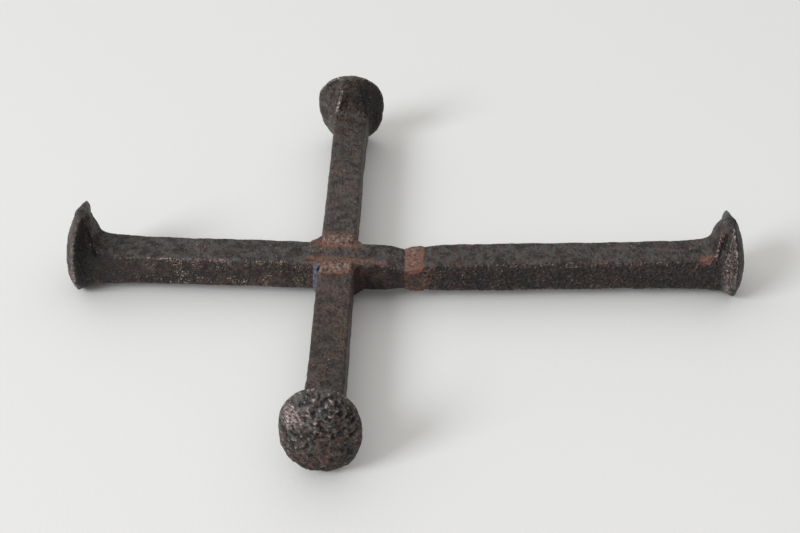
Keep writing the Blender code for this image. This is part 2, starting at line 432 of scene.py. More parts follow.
class Graph:
    """A node tree, with short ways to add nodes and join them."""

    def __init__(self, tree: bpy.types.NodeTree) -> None:
        """Takes over an emptied tree."""
        self.tree = tree
        tree.nodes.clear()

    def node(self, kind: str, inputs: dict[str, Value] | None = None, **settings: object) -> bpy.types.Node:
        """Adds a node.

        Args:
            kind: The node's type, without its ShaderNode prefix.
            inputs: A socket to join or a plain value for each named or numbered input.
            **settings: Values for the node's own properties.

        Returns:
            The new node.
        """
        made = self.tree.nodes.new("ShaderNode" + kind)
        for name, value in settings.items():
            setattr(made, name, value)
        for name, value in (inputs or {}).items():
            self.put(made.inputs[name], value)
        return made

    def put(self, socket: Socket, value: Value) -> None:
        """Joins a socket to an input, or sets the input to a plain value."""
        if isinstance(value, Socket):
            self.tree.links.new(value, socket)
        elif isinstance(value, tuple) and socket.type == "RGBA":
            socket.default_value = (*value, 1)
        elif isinstance(value, float) and socket.type == "VECTOR":
            socket.default_value = (value, value, value)
        else:
            socket.default_value = value

    def maths(self, operation: str, first: Value, second: Value = 0.0) -> Socket:
        """Returns what an operation makes of two values."""
        return self.node("Math", {0: first, 1: second}, operation=operation).outputs[0]

    def times(self, first: Value, second: Value) -> Socket:
        """Returns one value times another."""
        return self.maths("MULTIPLY", first, second)

    def plus(self, first: Value, second: Value) -> Socket:
        """Returns one value plus another."""
        return self.maths("ADD", first, second)

    def ramp(self, value: Value, low: Value, high: Value) -> Socket:
        """Returns a value eased from 0 at low to 1 at high."""
        inputs = {"Value": value, "From Min": low, "From Max": high}
        made = self.node("MapRange", inputs, interpolation_type="SMOOTHSTEP")
        return made.outputs["Result"]

    def between(self, value: Value, low: Value, high: Value) -> Socket:
        """Returns a value from 0 to 1 spread evenly from low to high."""
        inputs = {"Value": value, "To Min": low, "To Max": high}
        return self.node("MapRange", inputs).outputs["Result"]

    def mix(self, share: Value, first: Value, second: Value) -> Socket:
        """Returns a colour between two colours."""
        made = self.node("Mix", data_type="RGBA")
        colours = [s for s in made.inputs if s.type == "RGBA"]
        self.put(made.inputs[0], share)
        self.put(colours[0], first)
        self.put(colours[1], second)
        return next(s for s in made.outputs if s.type == "RGBA")

    def surface(self, inputs: dict[str, Value]) -> None:
        """Adds the material's shader and joins it to the output."""
        shader = self.node("BsdfPrincipled", inputs)
        self.node("OutputMaterial", {"Surface": shader.outputs[0]})

    def trait(self, trait: Trait) -> Socket:
        """Returns a trait that the mesh keeps."""
        return self.node("Attribute", attribute_name=trait.value).outputs["Fac"]

    def place(self, shift: Value = 0.0) -> Socket:
        """Returns the object's own coordinates in millimetres, shifted by the same all three ways."""
        at = self.node("TexCoord").outputs["Object"]
        scaled = self.node("VectorMath", {0: at, 1: (1000.0, 1000.0, 1000.0)}, operation="MULTIPLY")
        return self.node("VectorMath", {0: scaled.outputs[0], 1: shift}, operation="ADD").outputs[0]


def new_material(name: str) -> tuple[bpy.types.Material, Graph]:
    """Returns a new material and its emptied graph."""
    made = bpy.data.materials.new(name)
    made.use_nodes = True
    return made, Graph(made.node_tree)


class Effect(Enum):
    """The node groups that the finishes share."""

    BLOTCHES = "rust_blotches"
    PITS = "scale_pits"
    SPECKS = "bright_specks"
    WORN = "worn_edges"


def group_graph(
    effect: Effect, inputs: dict[str, float], outputs: Sequence[str]
) -> tuple[Graph, bpy.types.Node, bpy.types.Node]:
    """Makes a node group with its sockets.

    Args:
        effect: Which effect the group gives.
        inputs: The name and first value of each input.
        outputs: The name of each output, all of them values.

    Returns:
        Its graph, its input node and its output node.
    """
    tree = bpy.data.node_groups.new(effect.value, "ShaderNodeTree")
    for name, first in inputs.items():
        socket = tree.interface.new_socket(name=name, in_out="INPUT", socket_type="NodeSocketFloat")
        socket.default_value = first
    for name in outputs:
        tree.interface.new_socket(name=name, in_out="OUTPUT", socket_type="NodeSocketFloat")
    graph = Graph(tree)
    entry = tree.nodes.new("NodeGroupInput")
    result = tree.nodes.new("NodeGroupOutput")
    return graph, entry, result


def inverse(graph: Graph, size: Value) -> Socket:
    """Returns a texture's scale for a feature size in millimetres."""
    return graph.maths("DIVIDE", 1.0, size)


def blotches() -> None:
    """Makes the group of ragged patches of one size, such as rust in brown scale."""
    graph, entry, result = group_graph(
        Effect.BLOTCHES, {"Size": 5.0, "Low": 0.5, "High": 0.6, "Shift": 0.0}, ["Mask"]
    )
    at = graph.place(entry.outputs["Shift"])
    noise = graph.node(
        "TexNoise",
        {"Vector": at, "Scale": inverse(graph, entry.outputs["Size"]), "Detail": 5.0, "Roughness": 0.62},
    )
    mask = graph.ramp(noise.outputs[0], entry.outputs["Low"], entry.outputs["High"])
    graph.put(result.inputs["Mask"], mask)


def pits() -> None:
    """Makes the group of corrosion pits with a fine grain between them."""
    graph, entry, result = group_graph(
        Effect.PITS, {"Size": 1.2, "Grain": 0.5, "Shift": 0.0}, ["Height", "Bottom"]
    )
    at = graph.place(entry.outputs["Shift"])
    warp = graph.node("TexNoise", {"Vector": at, "Scale": 0.9, "Detail": 2.0})
    bent = graph.node("VectorMath", {0: warp.outputs["Color"], 1: at}, operation="ADD")
    cells = graph.node(
        "TexVoronoi",
        {"Vector": bent.outputs[0], "Scale": inverse(graph, entry.outputs["Size"]), "Smoothness": 0.6},
        feature="SMOOTH_F1",
    )
    bowl = graph.ramp(cells.outputs["Distance"], 0.05, 0.6)
    fine = graph.node(
        "TexNoise",
        {"Vector": at, "Scale": inverse(graph, entry.outputs["Grain"]), "Detail": 4.0, "Roughness": 0.7},
    )
    grain = graph.times(fine.outputs[0], 0.8)
    graph.put(result.inputs["Height"], graph.plus(bowl, grain))
    graph.put(result.inputs["Bottom"], graph.maths("SUBTRACT", 1.0, bowl))


def specks() -> None:
    """Makes the group of single specks, a share of which show."""
    graph, entry, result = group_graph(
        Effect.SPECKS, {"Size": 1.0, "Share": 0.3, "Shift": 0.0}, ["Mask"]
    )
    at = graph.place(entry.outputs["Shift"])
    warp = graph.node("TexNoise", {"Vector": at, "Scale": 1.4, "Detail": 3.0})
    bent = graph.node("VectorMath", {0: warp.outputs["Color"], 1: at}, operation="ADD")
    cells = graph.node(
        "TexVoronoi", {"Vector": bent.outputs[0], "Scale": inverse(graph, entry.outputs["Size"])}
    )
    lot = graph.node("SeparateColor", {0: cells.outputs["Color"]}).outputs[0]
    chosen = graph.maths("LESS_THAN", lot, entry.outputs["Share"])
    spot = graph.ramp(cells.outputs["Distance"], 0.42, 0.2)
    graph.put(result.inputs["Mask"], graph.times(chosen, spot))


def worn_edges() -> None:
    """Makes the group that breaks a ridge's wear into ragged bare spots."""
    graph, entry, result = group_graph(
        Effect.WORN, {"Ridge": 0.0, "Size": 1.5, "Low": 0.3, "High": 0.6}, ["Mask"]
    )
    noise = graph.node(
        "TexNoise",
        {"Vector": graph.place(7.0), "Scale": inverse(graph, entry.outputs["Size"]), "Detail": 4.0},
    )
    broken = graph.times(entry.outputs["Ridge"], graph.ramp(noise.outputs[0], 0.32, 0.62))
    graph.put(result.inputs["Mask"], graph.ramp(broken, entry.outputs["Low"], entry.outputs["High"]))


def use(graph: Graph, effect: Effect, output: str = "Mask", **inputs: Value) -> Socket:
    """Places a shared group in a material.

    Args:
        graph: The material's graph.
        effect: Which group.
        output: Which of its outputs is wanted.
        **inputs: A value or socket for each input, by its name in lower case.

    Returns:
        The output socket.
    """
    placed = graph.node("Group", node_tree=bpy.data.node_groups[effect.value])
    for name, value in inputs.items():
        graph.put(placed.inputs[name.capitalize()], value)
    return placed.outputs[output]


def patches(graph: Graph, size: float, low: float, high: float, shift: float) -> Socket:
    """Places ragged patches in a material.

    Args:
        graph: The material's graph.
        size: How big the patches are, in millimetres.
        low: The noise at which a patch begins: the lower, the more it covers.
        high: The noise at which it is full.
        shift: Which stretch of the noise to read, so that no two patterns match.

    Returns:
        The mask's socket.
    """
    return use(graph, Effect.BLOTCHES, size=size, low=low, high=high, shift=shift)


# ---------------------------------------------------------------- finishes


@dataclass(frozen=True)
class IronFinish:
    """Old forged iron: dark scale with brown and red rust, pitted, worn bare on its edges, with painted
    shade and highlights.
    """

    name: str
    scale: Colour = (0.0085, 0.0078, 0.0082)
    brown: Colour = (0.050, 0.034, 0.028)
    red: Colour = (0.125, 0.046, 0.030)
    orange: Colour = (0.185, 0.076, 0.040)
    burnt: Colour = (0.125, 0.072, 0.055)
    ochre: Colour = (0.40, 0.32, 0.23)
    grey_and_highlight: Colour = (0.080, 0.080, 0.079)
    bare: Colour = (0.36, 0.275, 0.26)
    area_size: float = 11.0
    drift_size: float = 6.5
    patch_size: float = 3.6
    veil_size: float = 3.4
    ember_size: float = 2.0
    red_size: float = 1.6
    scorch_size: float = 1.4
    grain_size: float = 0.8
    brown_from: float = 0.46
    red_from: float = 0.53
    pit_size: float = 1.5
    pit_depth: float = 0.62
    roughness: float = 0.56
    shift: float = 0.0

    def material(self) -> bpy.types.Material:
        """Builds the finish.

        Returns:
            The new material.
        """
        made, graph = new_material(self.name)
        shift = self.shift

        area = patches(graph, size=self.area_size, low=0.43, high=0.57, shift=shift + 61)
        rusty = graph.between(area, 0.35, 1.0)
        patch = patches(graph, size=self.patch_size, low=self.brown_from, high=0.6, shift=shift)
        colour = graph.mix(graph.times(patch, rusty), self.scale, self.brown)
        grain = patches(graph, size=self.grain_size, low=0.46, high=0.58, shift=shift + 3)
        grained = graph.times(grain, graph.between(area, 0.25, 0.6))
        colour = graph.mix(grained, colour, self.brown)
        # A lighter veil where faces look up, also standing in as a painted highlight on sides facing the
        # window.
        veil = patches(graph, size=self.veil_size, low=0.40, high=0.6, shift=shift + 11)
        veil = graph.times(veil, graph.between(graph.trait(Trait.GREY_AND_HIGHLIGHT), 0.12, 1.0))
        colour = graph.mix(veil, colour, self.grey_and_highlight)
        red = patches(graph, size=self.red_size, low=self.red_from, high=0.64, shift=shift + 23)
        red = graph.times(red, graph.between(graph.trait(Trait.RED), 0.22, 1.0))
        red = graph.times(red, graph.between(area, 0.5, 1.25))
        colour = graph.mix(red, colour, self.red)
        heat = graph.trait(Trait.HEAT)
        flush = graph.ramp(heat, 0.15, 0.95)
        scorch = patches(graph, size=self.scorch_size, low=0.36, high=0.58, shift=shift + 37)
        scorch = graph.times(flush, graph.between(scorch, 0.3, 0.85))
        colour = graph.mix(scorch, colour, self.burnt)
        ember = patches(graph, size=self.ember_size, low=0.44, high=0.6, shift=shift + 31)
        colour = graph.mix(graph.times(ember, flush), colour, self.orange)
        depth = use(graph, Effect.PITS, "Bottom", size=self.pit_size, shift=shift)
        hollow = graph.plus(graph.trait(Trait.HOLLOW), graph.times(depth, 0.4))
        # Painted shade: the dark scale colour is laid where the cross is in shade, and on the lower spike's
        # near face as darker scale.
        hollow = graph.plus(hollow, graph.trait(Trait.SOOT))
        colour = graph.mix(graph.ramp(hollow, 0.05, 0.9), colour, self.scale)
        pale = graph.trait(Trait.PALE)
        drift = patches(graph, size=self.drift_size, low=0.45, high=0.6, shift=shift + 47)
        pale = graph.times(pale, drift)
        share = graph.between(pale, 0.02, 0.8)
        dust = graph.maths(
            "MAXIMUM",
            use(graph, Effect.SPECKS, size=1.25, share=graph.times(share, 0.5), shift=shift + 5),
            use(graph, Effect.SPECKS, size=0.6, share=share, shift=shift + 9),
        )
        dust = graph.times(dust, graph.between(pale, 0.4, 0.9))
        colour = graph.mix(dust, colour, self.ochre)
        # Bare metal on worn edges, and where the traits ask, a painted highlight on sides facing the
        # window.
        ridge = graph.trait(Trait.RIDGE)
        worn = use(graph, Effect.WORN, ridge=ridge, size=1.1, low=0.35, high=0.75)
        polish = graph.trait(Trait.POLISH)
        bare = graph.times(worn, graph.between(polish, 0.12, 1.0))
        colour = graph.mix(bare, colour, self.bare)

        coarse = use(graph, Effect.PITS, "Height", size=self.pit_size, grain=0.7, shift=shift)
        fine = use(graph, Effect.PITS, "Height", size=0.6, grain=0.3, shift=shift + 2)
        height = graph.plus(coarse, graph.times(fine, 0.22))
        calm = graph.between(polish, 1.0, 0.35)
        bump = graph.node(
            "Bump", {"Height": graph.times(height, calm), "Distance": self.pit_depth * MM}
        )
        rough = graph.between(grain, self.roughness - 0.08, self.roughness + 0.1)
        rough = graph.maths("SUBTRACT", rough, graph.times(bare, 0.16))
        rough = graph.maths("SUBTRACT", rough, graph.times(polish, 0.14))
        graph.surface(
            {
                "Base Color": colour, "Roughness": rough, "Metallic": graph.times(bare, 0.6),
                "Specular IOR Level": 0.36, "Normal": bump.outputs[0],
            }
        )
        return made


@dataclass(frozen=True)
class WeldFinish:
    """Weld metal: lumpy, dull and rusting, or still bright where nothing has touched it."""

    name: str
    dark: Colour = (0.060, 0.034, 0.027)
    light: Colour = (0.26, 0.18, 0.152)
    rust: Colour = (0.19, 0.070, 0.036)
    roughness: float = 0.55
    metallic: float = 0.1
    rust_from: float = 0.5
    grain_depth: float = 0.3
    pitted: float = 0.5
    shift: float = 0.0

    def material(self) -> bpy.types.Material:
        """Builds the finish.

        Returns:
            The new material.
        """
        made, graph = new_material(self.name)
        shift = self.shift
        cloud = patches(graph, size=1.3, low=0.4, high=0.6, shift=shift)
        colour = graph.mix(cloud, self.dark, self.light)
        ragged = patches(graph, size=1.5, low=0.36, high=0.56, shift=shift + 29)
        border = graph.times(graph.trait(Trait.HEAT), ragged)
        rust = patches(graph, size=2.6, low=self.rust_from, high=0.66, shift=shift + 13)
        colour = graph.mix(graph.maths("MAXIMUM", rust, border), colour, self.rust)
        depth = use(graph, Effect.PITS, "Bottom", size=1.1, shift=shift)
        hollow = graph.plus(graph.trait(Trait.HOLLOW), graph.times(depth, self.pitted))
        colour = graph.mix(graph.ramp(hollow, 0.15, 1.0), colour, self.dark)
        worn = use(graph, Effect.WORN, ridge=graph.trait(Trait.RIDGE), size=0.9, low=0.3, high=0.8)
        colour = graph.mix(graph.times(worn, 0.6), colour, self.light)
        height = use(graph, Effect.PITS, "Height", size=0.8, grain=0.4, shift=shift)
        bump = graph.node("Bump", {"Height": height, "Distance": self.grain_depth * MM})
        rough = graph.between(cloud, self.roughness + 0.08, self.roughness - 0.06)
        graph.surface(
            {
                "Base Color": colour, "Roughness": rough, "Metallic": self.metallic,
                "Normal": bump.outputs[0],
            }
        )
        return made


# ---------------------------------------------------------------- spikes


@dataclass(frozen=True)
class Section:
    """A rounded rectangle square to the shank's axis."""

    x: float
    width: float = SHANK_WIDTH
    front: float = HALF_SHANK
    back: float = HALF_SHANK
    corner: float = SHANK_CORNER

    def grown(self, by: float) -> "Section":
        """Returns the section with every side moved out."""
        return Section(self.x, self.width + 2 * by, self.front + by, self.back + by, self.corner)

    def outline(self) -> list[Vector]:
        """Returns the points round it, side by side: front, right, back and left."""
        corner = min(self.corner, self.width / 4, (self.front + self.back) / 4)
        across = self.width / 2 - corner
        up, down = self.front - corner, corner - self.back
        centres = ((-across, up), (across, up), (across, down), (-across, down))
        points = []
        for side in range(4):
            first = Vector(centres[side])
            last = Vector(centres[(side + 1) % 4])
            for step in range(SIDE_SEGMENTS):
                before = max(CORNER_SEGMENTS - step, 0) / CORNER_SEGMENTS
                after = max(step - SIDE_SEGMENTS + CORNER_SEGMENTS, 0) / CORNER_SEGMENTS
                along = (step - CORNER_SEGMENTS) / (SIDE_SEGMENTS - 2 * CORNER_SEGMENTS)
                centre = first.lerp(last, min(max(along, 0), 1))
                angle = pi / 2 - side * pi / 2 + (before - after) * pi / 4
                y = centre.x + corner * cos(angle)
                z = centre.y + corner * sin(angle)
                points.append(Vector((self.x, y, z)))
        return points


@dataclass(frozen=True)
class Head:
    """A spike's head: a short back rim, a long lip with a rib under it, and a dome."""

    lip_reach: float
    back_overhang: float = 5.7
    belly_height: float = 12.5
    upper_squareness: float = 2.3
    lower_squareness: float = 2.7
    lean: float = radians(8)
    rib_curve: float = 0.8
    neck_curve: float = 2.0
    dome_flat: float = 2.0
    dome_rise: float = DOME_RISE
    rim_hollow: float = 0.0

    def rim_point(self, angle: float) -> tuple[float, float]:
        """Finds a point of the head's outline.

        Args:
            angle: Where it is on the outline, from the belly's right side.

        Returns:
            Its y and its height above the shank's axis.
        """
        above = HALF_SHANK + self.lip_reach - self.belly_height
        below = HALF_SHANK + self.back_overhang + self.belly_height
        upper = sin(angle) > 0
        height = above if upper else below
        power = 2 / (self.upper_squareness if upper else self.lower_squareness)
        y = copysign(abs(cos(angle)) ** power, cos(angle)) * HEAD_WIDTH / 2
        z = copysign(abs(sin(angle)) ** power, sin(angle)) * height
        return y, self.belly_height + z

    def rim_outline(self) -> list[Vector]:
        """Returns the rim's points, in the order of Section.outline."""
        rib = acos((LIP_RIB_WIDTH / HEAD_WIDTH) ** (self.upper_squareness / 2))
        low = HEAD_LOWER_CORNER
        corners = (pi - rib, rib, -low, low - pi, -pi - rib)
        points = []
        for side in range(4):
            for step in range(SIDE_SEGMENTS):
                share = step / SIDE_SEGMENTS
                angle = corners[side] + (corners[side + 1] - corners[side]) * share
                points.append(Vector((0, *self.rim_point(angle))))
        return points

    def hollow_at(self, point: Vector) -> float:
        """Returns how far the under side is hollowed at a point of the rim: most at the sides."""
        return self.rim_hollow * max(0.0, 1 - (1 - abs(point.y) / (HEAD_WIDTH / 2)) / 0.75)

    def leaned(self, points: Sequence[Vector], x: float) -> list[Vector]:
        """Returns the points moved to x, and the higher ones back towards the shank."""
        return [Vector((p.x + x - tan(self.lean) * p.z, p.y, p.z)) for p in points]

    def rings(self) -> list[list[Vector]]:
        """Returns rings from the start of the neck, over the rim, to the dome."""
        neck = Section(0).grown(NECK_SWELL).outline()
        rim = self.rim_outline()
        middle = Vector((0, 0, (self.lip_reach - self.back_overhang) / 2))
        rings = []
        for share in FLARE_STEPS:
            ring = []
            for index, (inner, outer) in enumerate(zip(neck, rim, strict=True)):
                under_rib = index <= SIDE_SEGMENTS
                point = inner.lerp(outer, share ** (self.rib_curve if under_rib else self.neck_curve))
                point.x = self.hollow_at(outer) * share
                ring.append(point)
            rings.append(self.leaned(ring, -NECK_FLARE * (1 - share)))
        inset = 1 - RIM_ROUNDING / (HEAD_WIDTH / 2)
        inner_rim = [middle.lerp(p, inset) for p in rim]
        for ring, start in ((inner_rim, 0.0), (rim, RIM_ROUNDING)):
            hollowed = [Vector((self.hollow_at(p), p.y, p.z)) for p in ring]
            rings.append(self.leaned(hollowed, start))
        rings.append(self.leaned(rim, RIM_THICKNESS - RIM_ROUNDING))
        rings.append(self.leaned(inner_rim, RIM_THICKNESS))
        for share in DOME_STEPS:
            dome = [middle.lerp(p, inset * share) for p in rim]
            rise = self.dome_rise * (1 - share**self.dome_flat)
            rings.append(self.leaned(dome, RIM_THICKNESS + rise))
        return rings


@dataclass(frozen=True)
class Spike:
    """One rail spike: its shank from its point or cut end, its neck and its head."""

    name: str
    origin: Vector
    heading: float
    reach: float
    tail: tuple[Section, ...]
    head: Head
    finish: IronFinish
    slot: Slot
    wear: tuple[Dent | Facet | Crease, ...] = ()
    struck: float = 0.0
    front_pits: float = 0.12
    dome_bare_cut: float = 0.0
    traits: Callable[["Spike", Rows, Rows], dict[Trait, Rows]] | None = None

    def place(self, unit: float = 1.0) -> Matrix:
        """Returns the matrix that puts the spike where it belongs.

        Args:
            unit: The length of a millimetre in the matrix's own unit.
        """
        turn = Matrix.Rotation(self.heading, 4, "Z")
        return Matrix.Translation(self.origin * unit) @ turn @ Matrix.Translation((self.reach * unit, 0, 0))

    def forge(self) -> Piece:
        """Extrudes the spike from its far end to its dome and meshes it evenly.

        Returns:
            The spike, in its own place.
        """
        swell = Section(-NECK_FLARE - NECK_SWELL_LENGTH)
        half_way = Section(-self.reach / 2)
        rings = [section.outline() for section in (*self.tail, half_way, swell)]
        rings += self.head.rings()
        loft = Loft(self.name, rings[0])
        for ring in rings[1:]:
            loft.extrude(ring)
        piece = loft.close()
        finish_with(piece, "SUBSURF", levels=2, render_levels=2)
        finish_with(piece, "REMESH", mode="VOXEL", voxel_size=VOXEL * MM)
        return piece

    def age(self, piece: Piece) -> None:
        """Wears the spike, puts it in its place and pits it.

        Args:
            piece: The forged spike.
        """
        for mark in self.wear:
            set_coordinates(piece, mark.wear(coordinates(piece), normals(piece)))
        piece.data.transform(self.place(MM))
        local = moved(coordinates(piece), self.place().inverted())
        Roughening("CLOUDS", 14.0, 0.8).press(piece)
        Roughening("CLOUDS", 4.0, 0.3).press(piece)
        rim = ramp(local[:, 0], -4, 0)
        Roughening("CLOUDS", 5.5, 0.9).press(piece, rim)
        if self.struck:
            face = ramp(past_rim(local, self.head), 1.5, 3.5) * (1 - 0.85 * on_flat(local, 6.0))
            Roughening("CLOUDS", 3.4, self.struck * 1.3, 0.5, 1).press(piece, face)
            Roughening("VORONOI", 2.7, self.struck * 0.5, 0.3).press(piece, face)
            Roughening("CLOUDS", 1.7, self.struck * 0.75, 0.5, 2).press(piece, face)
        front = near_side(normals(piece)) * ramp(-local[:, 0], 2, 8)
        Roughening("VORONOI", 1.5, self.front_pits * 2.4, 0.3).press(piece, front)
        Roughening("CLOUDS", 1.3, self.front_pits * 2.0, 0.5, 3).press(piece, front)
        Roughening("CLOUDS", 1.2, 0.22, 0.5, 3).press(piece)
        rest_on_floor(piece)

    def mark(self, piece: Piece) -> None:
        """Keeps on the mesh what its finish needs to know.

        Args:
            piece: The aged spike.
        """
        local = moved(coordinates(piece), self.place().inverted())
        outward = normals(piece)
        fine, broad = relief(piece, 4), relief(piece, 24)
        kept = {
            Trait.RIDGE: ramp(fine + broad * 0.3, 0.05, 0.32) * self.wear_share(outward),
            Trait.HOLLOW: ramp(-fine * 1.2 - broad * 0.5, 0.03, 0.3),
            Trait.HEAT: np.zeros(len(local)),
            Trait.RED: np.full(len(local), 0.3),
            Trait.PALE: np.full(len(local), 0.1),
            Trait.GREY_AND_HIGHLIGHT: upward(outward) * 0.7,
            Trait.POLISH: np.full(len(local), 0.35),
            Trait.SOOT: np.zeros(len(local)),
        }
        if self.traits:
            for trait, values in self.traits(self, local, outward).items():
                if trait in (Trait.RIDGE, Trait.HEAT):
                    kept[trait] = np.maximum(kept[trait], values)
                elif trait is Trait.HOLLOW:
                    kept[trait] = kept[trait] * values
                else:
                    kept[trait] = values
        kept[Trait.HEAT] = np.maximum(kept[Trait.HEAT], weld_heat(coordinates(piece)))
        for ridge in self.wear:
            if isinstance(ridge, Crease) and ridge.depth < 0:
                near = np.minimum(1.6 * ridge.nearness(local), 1)
                kept[Trait.RIDGE] = np.maximum(kept[Trait.RIDGE], near)
                kept[Trait.POLISH] = np.maximum(kept[Trait.POLISH], near)
        for trait, values in kept.items():
            keep_trait(piece, trait, values)

    def wear_share(self, outward: Rows) -> Rows:
        """Returns how far edges are worn bare: less on the dome."""
        along = np.array((cos(self.heading), sin(self.heading), 0.0))
        return 1 - self.dome_bare_cut * ramp(outward @ along, 0.1, 0.5)

    def build(self) -> Piece:
        """Makes, ages, marks and dresses the spike.

        Returns:
            The finished piece.
        """
        piece = self.forge()
        self.age(piece)
        self.mark(piece)
        join_frame(piece, self.name, self.finish.material())
        return piece


def join_frame(piece: Piece, node: str, finish: bpy.types.Material) -> None:
    """Dresses a piece and puts it on the frame in the place of its CAD node.

    Args:
        piece: The finished piece.
        node: The CAD node that it stands for.
        finish: Its material.
    """
    piece.data.shade_smooth()
    piece.data.materials.clear()
    piece.data.materials.append(finish)
    piece.name = piece.data.name = node + "_worn"
    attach(piece, "root")
    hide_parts(node)
    LOG.info("%s: %d faces", piece.name, len(piece.data.polygons))


def weld_heat(points: Rows) -> Rows:
    """Finds how strongly the welding burnt the iron.

    Args:
        points: Rows of points in the frame, in millimetres.

    Returns:
        A value from 0 to 1 for each.
    """
    crossing, butt = np.array(CROSSING), np.array(BUTT_JOINT)
    from_arms = np.minimum(
        np.abs(points[:, 1] - (crossing[1] + HALF_SHANK)),
        np.abs(points[:, 1] - (crossing[1] - HALF_SHANK)),
    )
    beside = ramp(-np.abs(points[:, 0] - crossing[0]), -19, -6)
    near_arms = np.exp(-((from_arms / ARM_BURN_REACH) ** 2)) * beside * 0.85
    streak_line = crossing[1] - STREAK_OFFSET - STREAK_SLOPE * (points[:, 0] - crossing[0])
    from_streak = points[:, 1] - streak_line
    along_streak = ramp(-np.abs(points[:, 0] - crossing[0] - STREAK_SHIFT), -22, -14)
    streak = np.exp(-((from_streak / STREAK_WIDTH) ** 2)) * along_streak * ramp(points[:, 2], 15, 19)
    from_butt = points[:, 0] - butt[0]
    reach = np.where(from_butt > 0, BUTT_BURN_REACH_DOWN, BUTT_BURN_REACH_UP)
    near_butt = np.exp(-((from_butt / reach) ** 2)) * ramp(-points[:, 2], -22, -17)
    return np.maximum(np.maximum(near_arms, 1.2 * streak), near_butt * 0.8)


# ---------------------------------------------------------------- welds


@dataclass(frozen=True)
class WeldRun:
    """A run of weld metal: a rippled bead along a straight line.

    A point of its section is a share across and a height out of the base line.
    """

    name: str
    origin: Vector
    heading: float
    start: Point
    end: Point
    out: Point
    width: float
    crown: float
    root: float
    finish: WeldFinish
    slot: Slot = Slot.WELD
    ripples: int = 7
    ripple: float = 0.12
    lumps: float = 0.5
    end_taper: float = 0.12

    def directions(self) -> tuple[Vector, Vector, Vector, Vector]:
        """Returns the base line's start and end, the way out of it and the way across it."""
        start, end, out = Vector(self.start), Vector(self.end), Vector(self.out).normalized()
        return start, end, out, out.cross((end - start).normalized())

    def section(self, share: float) -> list[Vector]:
        """Finds the ring at a share of the run's length.

        Args:
            share: From 0 at its start to 1 at its end.

        Returns:
            The ring's points, in the run's own frame.
        """
        start, end, out, across = self.directions()
        from_end = min(share, 1 - share) / self.end_taper
        taper = 1.0 if from_end > 1 else max(RUN_BLUNTNESS, (1 - (1 - from_end) ** 2) ** 0.5)
        wave = 1 + self.ripple * (abs(sin(pi * self.ripples * share)) - 0.6)
        points = []
        for step in range(RUN_POINTS):
            angle = 2 * pi * step / RUN_POINTS
            squared = copysign(abs(cos(angle)) ** RUN_SQUARENESS, cos(angle))
            side = squared * self.width / 2 * (0.6 + 0.4 * taper)
            tall = sin(angle)
            height = tall**2 * self.crown * wave * taper if tall > 0 else tall * self.root
            points.append(start.lerp(end, share) + across * side + out * height)
        return points

    def border(self, piece: Piece) -> Rows:
        """Finds how near the run's border each of its points is.

        Args:
            piece: The run, in its place.

        Returns:
            A value for each point, 0 along the middle and 1 at the border.
        """
        place = Matrix.Translation(self.origin) @ Matrix.Rotation(self.heading, 4, "Z")
        local = moved(coordinates(piece), place.inverted())
        start, end, _, sideways = self.directions()
        across = np.abs((local - start) @ np.array(sideways)) / (self.width / 2)
        along = (local - start) @ np.array((end - start).normalized())
        ends = np.minimum(along, (end - start).length - along)
        return np.maximum(ramp(across, 0.45, 0.9), ramp(-ends, -1.6, 0.2))

    def build(self) -> Piece:
        """Makes, ages and dresses the run.

        Returns:
            The finished piece.
        """
        loft = Loft(self.name, self.section(0))
        for step in range(1, RUN_STEPS + 1):
            loft.extrude(self.section(step / RUN_STEPS))
        piece = loft.close()
        finish_with(piece, "SUBSURF", levels=2, render_levels=2)
        turn = Matrix.Rotation(self.heading, 4, "Z")
        piece.data.transform(Matrix.Translation(self.origin * MM) @ turn)
        if self.lumps:
            Roughening("CLOUDS", 3.4, self.lumps * 1.7).press(piece)
            Roughening("CLOUDS", 1.3, self.lumps * 0.6, 0.5, 3).press(piece)
        rest_on_floor(piece)
        fine = relief(piece, 6)
        keep_trait(piece, Trait.RIDGE, ramp(fine, 0.02, 0.12))
        keep_trait(piece, Trait.HOLLOW, ramp(-fine, 0.02, 0.14))
        keep_trait(piece, Trait.HEAT, self.border(piece))
        join_frame(piece, self.name, self.finish.material())
        return piece


# ---------------------------------------------------------------- the cross


def near_side(outward: Rows) -> Rows:
    """Returns 1 where a surface faces the near side of the cross, fading round the corner."""
    return ramp(-outward[:, 1], 0.3, 0.8)


def upward(outward: Rows) -> Rows:
    """Returns 1 where a surface faces up, fading round the corner."""
    return ramp(outward[:, 2], 0.4, 0.9)


def past_rim(local: Rows, head: Head) -> Rows:
    """Returns how far each point is past the underside of the leaning rim."""
    return local[:, 0] + local[:, 2] * tan(head.lean)


def on_flat(local: Rows, radius: float) -> Rows:
    """Returns a value for each point, 1 in the middle of the struck face's worn flat."""
    return np.exp(-((local[:, 1:] - np.array(STRUCK_FLAT)) ** 2).sum(axis=1) / radius**2)


def point_tail(reach: float, front_taper: float, back_taper: float) -> tuple[Section, ...]:
    """Finds the sections of a spike's blunted point.

    Args:
        reach: How far the joint is behind the head's rim.
        front_taper: How much lower the front is at the point.
        back_taper: How much higher the back is at the point.

    Returns:
        The sections from the point to the full shank.
    """
    front, back = HALF_SHANK - front_taper, HALF_SHANK - back_taper
    blunt = Section(-reach + GROOVE_WIDTH / 2, SHANK_WIDTH, front, back)
    inner = blunt.grown(-GROOVE_DEPTH)
    return (
        Section(-reach + 0.3, inner.width, inner.front, inner.back),
        Section(-reach + 2.2, blunt.width - 2.0, front - 1.0, back - 1.0), blunt,
        Section(-reach + POINT_TAPER_LENGTH * 0.6, SHANK_WIDTH, HALF_SHANK - front_taper * 0.55, back),
        Section(-reach + POINT_TAPER_LENGTH),
    )


